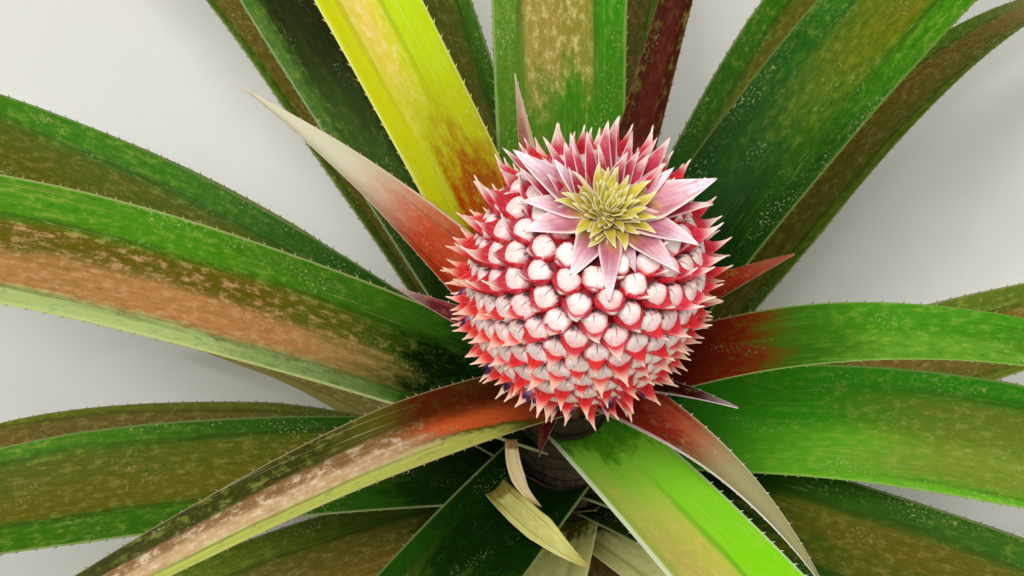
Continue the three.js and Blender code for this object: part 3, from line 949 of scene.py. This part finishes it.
class PINEAPPLE_OT_lower_leaves(Operator):
    """Build the older leaves below, greener above and browner towards the ground"""

    bl_idname = "pineapple.lower_leaves"
    bl_label = "Lower leaves"

    def execute(self, context):
        settings = context.scene.pineapple_leaf
        template = bar_template(settings.sides, settings.rows)
        chance = random.Random(SEEDS["lower_leaves"])
        first = len(UPPER_LEAVES) + 1
        rows = []
        looks = []
        for rank, azimuth in enumerate(LOWER_AZIMUTHS):
            age = rank / (len(LOWER_AZIMUTHS) - 1)
            sizes = [lerp(low, high, age) for low, high in zip(YOUNGEST_LOWER_LEAF, OLDEST_LOWER_LEAF)]
            rows.append((azimuth, *sizes, LOWER_DRIFT * cos(radians(rank * GOLDEN_ANGLE))))
            share = clamp(age * 0.8 + chance.uniform(-0.12, 0.3))
            look = mixed_look(LOWER_LOOK_GREEN, LOWER_LOOK_BROWN, share)
            look["middle"] += chance.uniform(-0.2, 0.2)
            looks.append(PAINTED_LIGHT_STRAW_LOOK if first + rank in STRAW_LEAVES else look)
        grow_leaves(
            "leaf", first, rows, looks, settings, "old_leaf_blade", template,
            seed=WAVE_SEEDS["lower_leaves"], foot_radius=STEM_WAIST_RADIUS - LEAF_SINK,
        )
        return {"FINISHED"}


class PINEAPPLE_OT_stalk_leaves(Operator):
    """Build the small red leaves under the fruit"""

    bl_idname = "pineapple.stalk_leaves"
    bl_label = "Stalk leaves"

    def execute(self, context):
        settings = context.scene.pineapple_leaf
        template = bar_template(sides=16, rows=32)
        grow_leaves(
            "stalk_leaf", 1, STALK_LEAVES, STALK_LOOKS, settings, "red_stalk_leaf", template,
            seed=WAVE_SEEDS["stalk_leaves"], form=StalkBlade, underside="c8a498", scurf=0.35,
            foot_radius=STALK_RADIUS - LEAF_SINK, wave=1.2, wave_pitch=40,
        )
        return {"FINISHED"}


class PINEAPPLE_OT_dry_leaves(Operator):
    """Build the dead straw-coloured leaves round the foot"""

    bl_idname = "pineapple.dry_leaves"
    bl_label = "Dry leaves"

    def execute(self, context):
        settings = context.scene.pineapple_leaf
        template = bar_template(sides=16, rows=40)
        looks = DRY_LOOKS * (len(DRY_LEAVES) // len(DRY_LOOKS))
        grow_leaves(
            "dry_leaf", 1, DRY_LEAVES, looks, settings, DRY_LEAF_SLOT, template,
            seed=WAVE_SEEDS["dry_leaves"], underside="b8a680", scurf=0.3, toothed=False,
            foot_radius=STEM_WAIST_RADIUS - LEAF_SINK, wave=5, wave_pitch=45, thickness=1.6,
        )
        return {"FINISHED"}


def fruit_matrix():
    """The fruit's own frame, standing on its stalk and leaning"""
    return Matrix.Translation((0, 0, FRUIT_FOOT_HEIGHT * MM)) @ turned(FRUIT_LEAN, "Y")


def core_point(angle):
    """Radius and height of the fruit's core at an angle from -90 degrees at its foot to 90 at its top"""

    def rounded(value):
        return copysign(abs(value) ** (2 / CORE_ROUNDNESS), value)

    across = rounded(max(cos(radians(angle)), 0))
    return CORE_RADIUS * across, FRUIT_LENGTH / 2 * (1 + rounded(sin(radians(angle))))


def eye_angles():
    """The outline angles of the eyes, spread so that each has the same share of the core's surface"""
    steps = 400
    angles = [lerp(LOWEST_EYE_ANGLE, HIGHEST_EYE_ANGLE, i / steps) for i in range(steps + 1)]
    areas = [0.0]
    for low, high in zip(angles, angles[1:]):
        low_radius, low_height = core_point(low)
        high_radius, high_height = core_point(high)
        slant = hypot(high_radius - low_radius, high_height - low_height)
        areas.append(areas[-1] + (low_radius + high_radius) * slant)
    wanted = [(eye + 0.5) / EYES * areas[-1] for eye in range(EYES)]
    return [next(angle for angle, area in zip(angles, areas) if area >= share) for share in wanted]


def eye_facts():
    """For each eye: its frame, with X outwards and Z up the fruit, its half width, bract length, rise and
    height"""
    facts = []
    for i, angle in enumerate(eye_angles()):
        radius, height = core_point(angle)
        low_radius, low_height = core_point(angle - 1)
        high_radius, high_height = core_point(angle + 1)
        slope = atan2(low_radius - high_radius, high_height - low_height)
        share = height / FRUIT_LENGTH
        seat = Matrix.Translation((radius * MM, 0, height * MM))
        reach = lerp(BRACT_LENGTH, TOP_BRACT_LENGTH, clamp((share - 0.5) / 0.4))
        facts.append(dict(
            matrix=fruit_matrix() @ turned(i * GOLDEN_ANGLE, "Z") @ seat @ Matrix.Rotation(-slope, 4, "Y"),
            half=EYE_HALF_WIDTH * lerp(1, TOP_EYE_SHARE, clamp((share - 0.8) / 0.2)),
            reach=reach * lerp(1, 0.6, smooth(share, 0.9, 0.97)),
            rise=lerp(LOWEST_BRACT_RISE, HIGHEST_BRACT_RISE, share) - degrees(slope),
            share=share,
        ))
    return facts


def dome_template():
    """A low dome with three soft grooves, a unit wide each way, its top along X"""
    bm = bmesh.new()
    bmesh.ops.create_uvsphere(bm, u_segments=12, v_segments=8, radius=1)
    bmesh.ops.rotate(bm, verts=bm.verts, matrix=turned(90, "Y", 3))
    everything = bm.verts[:] + bm.edges[:] + bm.faces[:]
    bmesh.ops.bisect_plane(bm, geom=everything, plane_co=(-0.6, 0, 0), plane_no=(1, 0, 0), clear_inner=True)
    bmesh.ops.contextual_create(bm, geom=[edge for edge in bm.edges if edge.is_boundary])
    eye_map = bm.loops.layers.uv.new("Eye")
    for vert in bm.verts:
        far = hypot(vert.co.y, vert.co.z)
        angle = degrees(atan2(vert.co.z, vert.co.y)) % 360
        if far > 0.1:
            apart = min(abs(angle - seam) for seam in SEAM_ANGLES)
            if vert.co.x > 0:
                groove = SEAM_DEPTH * (1 - smooth(apart, 5, SEAM_HALF_WIDTH)) * vert.co.x
                vert.co.x = (1 - far**DOME_POWER) ** (1 / DOME_POWER) - groove
            powers = abs(vert.co.y / far) ** EYE_POWER + abs(vert.co.z / far) ** EYE_POWER
            square = powers ** (-1 / EYE_POWER)
            vert.co.y *= square
            vert.co.z *= square
        else:
            vert.co.x -= 0.08
    for face in bm.faces:
        face.smooth = True
        for loop in face.loops:
            loop[eye_map].uv = ((loop.vert.co.y + 1) / 2, (loop.vert.co.z + 1) / 2)
    return made_mesh(bm, "dome_template")


def spun(outline, steps):
    """A closed turned body of the outline, given as radius and height from foot to top"""
    bm = bmesh.new()
    rim = [bm.verts.new((radius * MM, 0, height * MM)) for radius, height in outline]
    edges = [bm.edges.new(pair) for pair in zip(rim, rim[1:])]
    bmesh.ops.spin(
        bm, geom=rim + edges, cent=(0, 0, 0), axis=(0, 0, 1), angle=2 * pi, steps=steps, use_merge=True
    )
    bmesh.ops.remove_doubles(bm, verts=bm.verts, dist=0.01 * MM)
    bmesh.ops.recalc_face_normals(bm, faces=bm.faces)
    return bm


def build_core():
    """The core is the source's outline, spun round the fruit's axis"""
    steps = 24
    bm = spun([core_point(lerp(-90, 90, i / steps)) for i in range(steps + 1)], steps=48)
    for face in bm.faces:
        face.smooth = True
    bmesh.ops.transform(bm, matrix=fruit_matrix(), verts=bm.verts)
    finish_piece(bm, "fruit_core", core_material(), FRUIT_SLOT, "fruit")


def build_domes(facts, settings):
    """The eyes, each turned and sized a little differently"""
    template = dome_template()
    chance = random.Random(SEEDS["eyes"])
    bm = bmesh.new()
    marks = add_marks(bm)
    for eye in facts:
        verts, faces = add_copy(bm, template)
        half = eye["half"] * MM
        rise = EYE_RISE * chance.uniform(0.85, 1.1) * MM
        spin = turned(chance.uniform(-12, 12), "X")
        size = (rise, half * chance.uniform(0.96, 1.04), half * chance.uniform(0.86, 0.96), 1)
        bmesh.ops.transform(bm, matrix=eye["matrix"] @ spin @ Matrix.Diagonal(size), verts=verts)
        mark(faces, marks, eye["share"], chance.random() ** 2)
    finish_piece(bm, "fruit_eyes", dome_material(settings), FRUIT_SLOT, "fruit")


def build_bracts(facts, settings):
    """A bract under each eye"""
    template = bar_template(sides=10, rows=8)
    chance = random.Random(SEEDS["eye_bracts"])
    bm = new_bmesh()
    marks = add_marks(bm)
    for eye in facts:
        cup = eye["half"] + 0.4
        blade = EyeBract(
            azimuth=0, foot=-cup, rise=lerp(0, eye["rise"], 0.35), fall=eye["rise"] + chance.uniform(-8, 8),
            length=eye["reach"] * chance.uniform(0.78, 1.06), width=2 * radians(BRACT_ARC) * cup,
            drift=chance.uniform(-20, 20), foot_radius=-BRACT_ROOT, thickness=1.8,
        )
        faces = add_blade(bm, template, blade, eye["matrix"])
        mark(faces, marks, smooth(eye["share"], 0.6, 1.0), chance.random())
    finish_piece(bm, "fruit_bracts", bract_material(settings), FRUIT_SLOT, "fruit")


def build_petals(facts, settings):
    """Three petals rolled together, on some eyes of the lowest rows"""
    template = bar_template(sides=8, rows=5)
    chance = random.Random(SEEDS["petals"])
    bm = new_bmesh()
    petal = CrownBract(
        azimuth=0, foot=-1.3, rise=-8, fall=14, length=settings.petal_length / MM + EYE_RISE - 3, width=4.2,
        foot_radius=3, thickness=0.7,
    )
    for eye in facts[2:FLOWERING_EYES]:
        if chance.random() > FLOWERING_SHARE:
            continue
        tilt = turned(chance.uniform(0, 30), "Y")
        for turn in (0, 120, 240):
            add_blade(bm, template, petal, eye["matrix"] @ tilt @ turned(turn, "X"))
    finish_piece(bm, "flower_petals", petal_material(settings), FRUIT_SLOT, "fruit")


class PINEAPPLE_OT_fruit(Operator):
    """Build the fruit's core, its eyes, their bracts and the open flowers of the lower rows"""

    bl_idname = "pineapple.fruit"
    bl_label = "Fruit"

    def execute(self, context):
        settings = context.scene.pineapple_fruit
        facts = eye_facts()
        build_core()
        build_domes(facts, settings)
        build_bracts(facts, settings)
        build_petals(facts, settings)
        return {"FINISHED"}


def crown_matrix():
    """The crown's own frame, on the fruit's top"""
    return fruit_matrix() @ Matrix.Translation((0, 0, FRUIT_LENGTH * MM))


def build_star(settings):
    """Large pale bracts that lie open in a star"""
    template = bar_template(sides=14, rows=14)
    bm = new_bmesh()
    for i, row in enumerate(STAR_BRACTS):
        blade = CrownBract(*row, foot_radius=6, thickness=1.3, wave=1.2, wave_pitch=10, seed=i)
        add_blade(bm, template, blade, crown_matrix())
    material = crown_material(
        "crown_star_pink", foot="dcbc48", middle=settings.star, tip="f4e6ee", tip_from=0.42, streak="9c3c58"
    )
    finish_piece(bm, "crown_star", material, CROWN_SLOT, "crown_bud")


def build_back(settings):
    """Narrow red bracts with white points, between the star and the topmost eyes"""
    template = bar_template(sides=10, rows=10)
    chance = random.Random(SEEDS["crown_back"])
    bm = new_bmesh()
    for i in range(settings.back_bracts):
        lift = chance.uniform(0, 1)
        blade = CrownBract(
            azimuth=lerp(8, 172, (i + chance.uniform(0, 1)) / settings.back_bracts), foot=-2,
            rise=lerp(16, 66, lift), fall=lerp(4, 46, lift),
            length=lerp(27, 19, lift) * chance.uniform(0.8, 1.1), width=chance.uniform(5, 8.5),
            drift=chance.uniform(-24, 24), foot_radius=lerp(15, 8, lift), thickness=1.2, wave=1.2,
            wave_pitch=10, seed=WAVE_SEEDS["crown_back"] + i,
        )
        add_blade(bm, template, blade, crown_matrix())
    material = crown_material(
        "crown_back_red", foot="b01c20", middle="bc3450", tip="f4dcd4", tip_from=0.66, streak="a02038"
    )
    finish_piece(bm, "crown_back", material, CROWN_SLOT, "crown_bud")


def build_rosette(settings):
    """Small bracts over a round bud, upright in the middle and flatter outside"""
    template = bar_template(sides=8, rows=7)
    chance = random.Random(SEEDS["rosette"])
    bm = new_bmesh()
    for i in range(settings.rosette_bracts):
        share = i / (settings.rosette_bracts - 1)
        azimuth = (i + 3) * GOLDEN_ANGLE + chance.uniform(-14, 14)
        behind = 14 * sin(radians(azimuth))
        blade = CrownBract(
            azimuth=azimuth, foot=lerp(4, 6.5, share), rise=lerp(32, 80, share) + behind,
            fall=lerp(24, 84, share) + behind + chance.uniform(-16, 16),
            length=lerp(12, 6.5, share) * chance.uniform(0.7, 1.2), width=lerp(5.4, 2.4, share),
            drift=chance.uniform(-40, 40), foot_radius=lerp(7.5, 0.4, share), thickness=0.9,
        )
        add_blade(bm, template, blade, crown_matrix())
    bud = bmesh.ops.create_uvsphere(bm, u_segments=16, v_segments=10, radius=1)["verts"]
    bmesh.ops.transform(bm, matrix=crown_matrix() @ Matrix.Diagonal((9 * MM, 9 * MM, 7 * MM, 1)), verts=bud)
    material = crown_material(
        "crown_rosette_green", foot=settings.rosette, middle="d8cc48", tip="e8e0a0", tip_from=0.6,
        streak="b09430",
    )
    finish_piece(bm, "crown_rosette", material, CROWN_SLOT, "crown_bud")


class PINEAPPLE_OT_crown(Operator):
    """Build the crown bud: large pale bracts that lie open in a star and a rosette of small ones"""

    bl_idname = "pineapple.crown"
    bl_label = "Crown"

    def execute(self, context):
        settings = context.scene.pineapple_crown
        build_star(settings)
        build_back(settings)
        build_rosette(settings)
        return {"FINISHED"}


def shape_walls(bm, cuts, inside, depth):
    """Cuts rings into a turned body's walls, and moves what lies further out than inside by depth"""
    walls = [e for e in bm.edges if abs(e.verts[0].co.z - e.verts[1].co.z) > 1 * MM]
    bmesh.ops.subdivide_edges(bm, edges=walls, cuts=cuts, use_grid_fill=True)
    for vert in bm.verts:
        outward = Vector((vert.co.x, vert.co.y, 0))
        if outward.length > inside * MM and vert.co.z > 0.5 * MM:
            turn = atan2(vert.co.y, vert.co.x)
            vert.co += outward.normalized() * depth(turn, vert.co) * MM
    for face in bm.faces:
        face.smooth = abs(face.normal.z) < 0.9


def build_stem(settings):
    """The stem, with rings of leaf scars"""
    outline = [
        (0, 0),
        (STEM_FOOT_RADIUS, 0),
        (STEM_WAIST_RADIUS + 1, 8),
        (STEM_WAIST_RADIUS, 18),
        (lerp(STEM_WAIST_RADIUS, STEM_WIDEST_RADIUS, 0.55), 50),
        (STEM_WIDEST_RADIUS, 92),
        (STEM_WIDEST_RADIUS, 118),
        (lerp(STALK_RADIUS, STEM_WIDEST_RADIUS, 0.55), 142),
        (STALK_RADIUS + 1.5, STEM_HEIGHT),
        (0, STEM_HEIGHT),
    ]

    def depth(turn, place):
        ring = sin(place.z / (STEM_HEIGHT * MM) * 2 * pi * settings.scars + turn)
        return 0.55 * ring + 1.1 * noise.noise(place * 90)

    bm = spun(outline, steps=40)
    shape_walls(bm, cuts=7, inside=10, depth=depth)
    finish_piece(bm, "stem_bark", bark_material(settings), "stem_bark", "stem")


def build_stalk(settings):
    """The fruit's stalk, with ribs up it"""
    outline = [(0, STALK_FOOT), (STALK_RADIUS, STALK_FOOT), (STALK_RADIUS - 1, STALK_TOP), (0, STALK_TOP)]
    bm = spun(outline, steps=36)
    shape_walls(bm, cuts=12, inside=8, depth=lambda turn, place: 0.35 * sin(turn * 9))
    finish_piece(bm, "stalk_skin", stalk_material(settings), "stalk_skin", "fruit_stalk")


def build_stubs(settings):
    """Torn dry sheaths that hug the stem between the leaves"""
    template = bar_template(sides=12, rows=8)
    chance = random.Random(SEEDS["sheaths"])
    bm = new_bmesh()
    for i in range(settings.stubs):
        share = i / (settings.stubs - 1)
        blade = Blade(
            azimuth=i * GOLDEN_ANGLE + 30, foot=lerp(6, 104, share), rise=chance.uniform(72, 86),
            fall=chance.uniform(56, 74), length=chance.uniform(22, 34), width=chance.uniform(26, 36),
            foot_radius=lerp(18.5, 25, share), taper_from=0.1, thickness=1.4, wave=2, wave_pitch=9,
            seed=WAVE_SEEDS["sheaths"] + i,
        )
        add_blade(bm, template, blade)
    material = leaf_material("dry_sheath_brown", SHEATH_LOOK, underside="54422a", scurf=0.3)
    finish_piece(bm, "dry_sheaths", material, DRY_LEAF_SLOT)


def build_scraps():
    """The loose dead strips under the fruit"""
    template = bar_template(sides=12, rows=20)
    seed = WAVE_SEEDS["scraps"]
    for name, start, row, look in SCRAPS:
        bm = new_bmesh()
        blade = Blade(*row, taper_from=0.5, thickness=1.2, wave=1.5, wave_pitch=12, seed=seed)
        add_blade(bm, template, blade, Matrix.Translation(Vector(start) * MM))
        material = leaf_material("skin_of_" + name, look, underside="c8b080", scurf=0.3)
        finish_piece(bm, name, material, DRY_LEAF_SLOT)


class PINEAPPLE_OT_stem(Operator):
    """Build the stem with its leaf scars and dry stubs, and the fruit's stalk"""

    bl_idname = "pineapple.stem"
    bl_label = "Stem and stalk"

    def execute(self, context):
        settings = context.scene.pineapple_stem
        build_stem(settings)
        build_stalk(settings)
        build_stubs(settings)
        build_scraps()
        return {"FINISHED"}


def aimed(thing, place, target, collection):
    """Puts a lamp or the camera at a place, turned towards a target"""
    made = bpy.data.objects.new(thing.name, thing)
    made.location = place
    made.rotation_euler = (Vector(target) - Vector(place)).to_track_quat("-Z", "Y").to_euler()
    collection.objects.link(made)
    return made


def lay_floor(context, settings):
    """A square of floor round the plant's foot"""
    bm = bmesh.new()
    bmesh.ops.create_grid(bm, x_segments=4, y_segments=4, size=settings.floor_size / 2)
    floor = bpy.data.objects.new("stage_floor", made_mesh(bm, "stage_floor"))
    context.scene.collection.objects.link(floor)
    floor.data.materials.append(floor_material(settings))


def hang_lights(context, settings):
    """Two soft lamps and an even sky"""
    for (name, place, size), power in zip(LAMPS, (settings.key_power, settings.fill_power)):
        lamp = bpy.data.lights.new(name, "AREA")
        lamp.shape = "DISK"
        lamp.size = size
        lamp.energy = power
        aimed(lamp, place, LAMP_TARGET, context.scene.collection)
    world = bpy.data.worlds.new("soft_sky")
    world.use_nodes = True
    background = world.node_tree.nodes["Background"]
    background.inputs["Color"].default_value = SKY_COLOUR
    background.inputs["Strength"].default_value = settings.sky
    context.scene.world = world
    context.scene.view_settings.view_transform = "Standard"


def set_camera(context, settings):
    """The photograph looks down on the fruit at 60 degrees from half a metre away"""
    data = bpy.data.cameras.new("photo_camera")
    data.lens = CAMERA_LENS
    data.sensor_width = 36
    data.clip_start = 0.02
    data.shift_x, data.shift_y = CAMERA_SHIFT
    place = (CAMERA_TARGET[0], CAMERA_Y, settings.camera_height)
    context.scene.camera = aimed(data, place, CAMERA_TARGET, context.scene.collection)


class PINEAPPLE_OT_stage(Operator):
    """Lay the pale floor, hang the soft lights and set the camera at the photograph's angle"""

    bl_idname = "pineapple.stage"
    bl_label = "Stage"

    def execute(self, context):
        settings = context.scene.pineapple_stage
        lay_floor(context, settings)
        hang_lights(context, settings)
        set_camera(context, settings)
        return {"FINISHED"}


class PINEAPPLE_PT_panel(Panel):
    """The plant's operators and settings in the sidebar"""

    bl_label = "Pineapple plant"
    bl_idname = "PINEAPPLE_PT_panel"
    bl_space_type = "VIEW_3D"
    bl_region_type = "UI"
    bl_category = "Pineapple"

    def draw(self, context):
        for operator in OPERATORS:
            self.layout.operator(operator.bl_idname)
        for name in SETTINGS:
            box = self.layout.box()
            group = getattr(context.scene, name)
            for key in group.bl_rna.properties.keys():
                if key not in ("rna_type", "name"):
                    box.prop(group, key)


SETTINGS = {
    "pineapple_leaf": PineappleLeafSettings,
    "pineapple_fruit": PineappleFruitSettings,
    "pineapple_crown": PineappleCrownSettings,
    "pineapple_stem": PineappleStemSettings,
    "pineapple_stage": PineappleStageSettings,
}
OPERATORS = [
    PINEAPPLE_OT_stem,
    PINEAPPLE_OT_lower_leaves,
    PINEAPPLE_OT_upper_leaves,
    PINEAPPLE_OT_dry_leaves,
    PINEAPPLE_OT_stalk_leaves,
    PINEAPPLE_OT_fruit,
    PINEAPPLE_OT_crown,
    PINEAPPLE_OT_stage,
]


def register():
    for name, group in SETTINGS.items():
        bpy.utils.register_class(group)
        setattr(bpy.types.Scene, name, PointerProperty(type=group))
    for kind in OPERATORS + [PINEAPPLE_PT_panel]:
        bpy.utils.register_class(kind)


def unregister():
    for kind in reversed(OPERATORS + [PINEAPPLE_PT_panel]):
        bpy.utils.unregister_class(kind)
    for name, group in SETTINGS.items():
        delattr(bpy.types.Scene, name)
        bpy.utils.unregister_class(group)


def main():
    register()
    bpy.ops.pineapple.stem()
    bpy.ops.pineapple.lower_leaves()
    bpy.ops.pineapple.upper_leaves()
    bpy.ops.pineapple.dry_leaves()
    bpy.ops.pineapple.stalk_leaves()
    bpy.ops.pineapple.fruit()
    bpy.ops.pineapple.crown()
    bpy.ops.pineapple.stage()


if __name__ == "__main__":
    main()
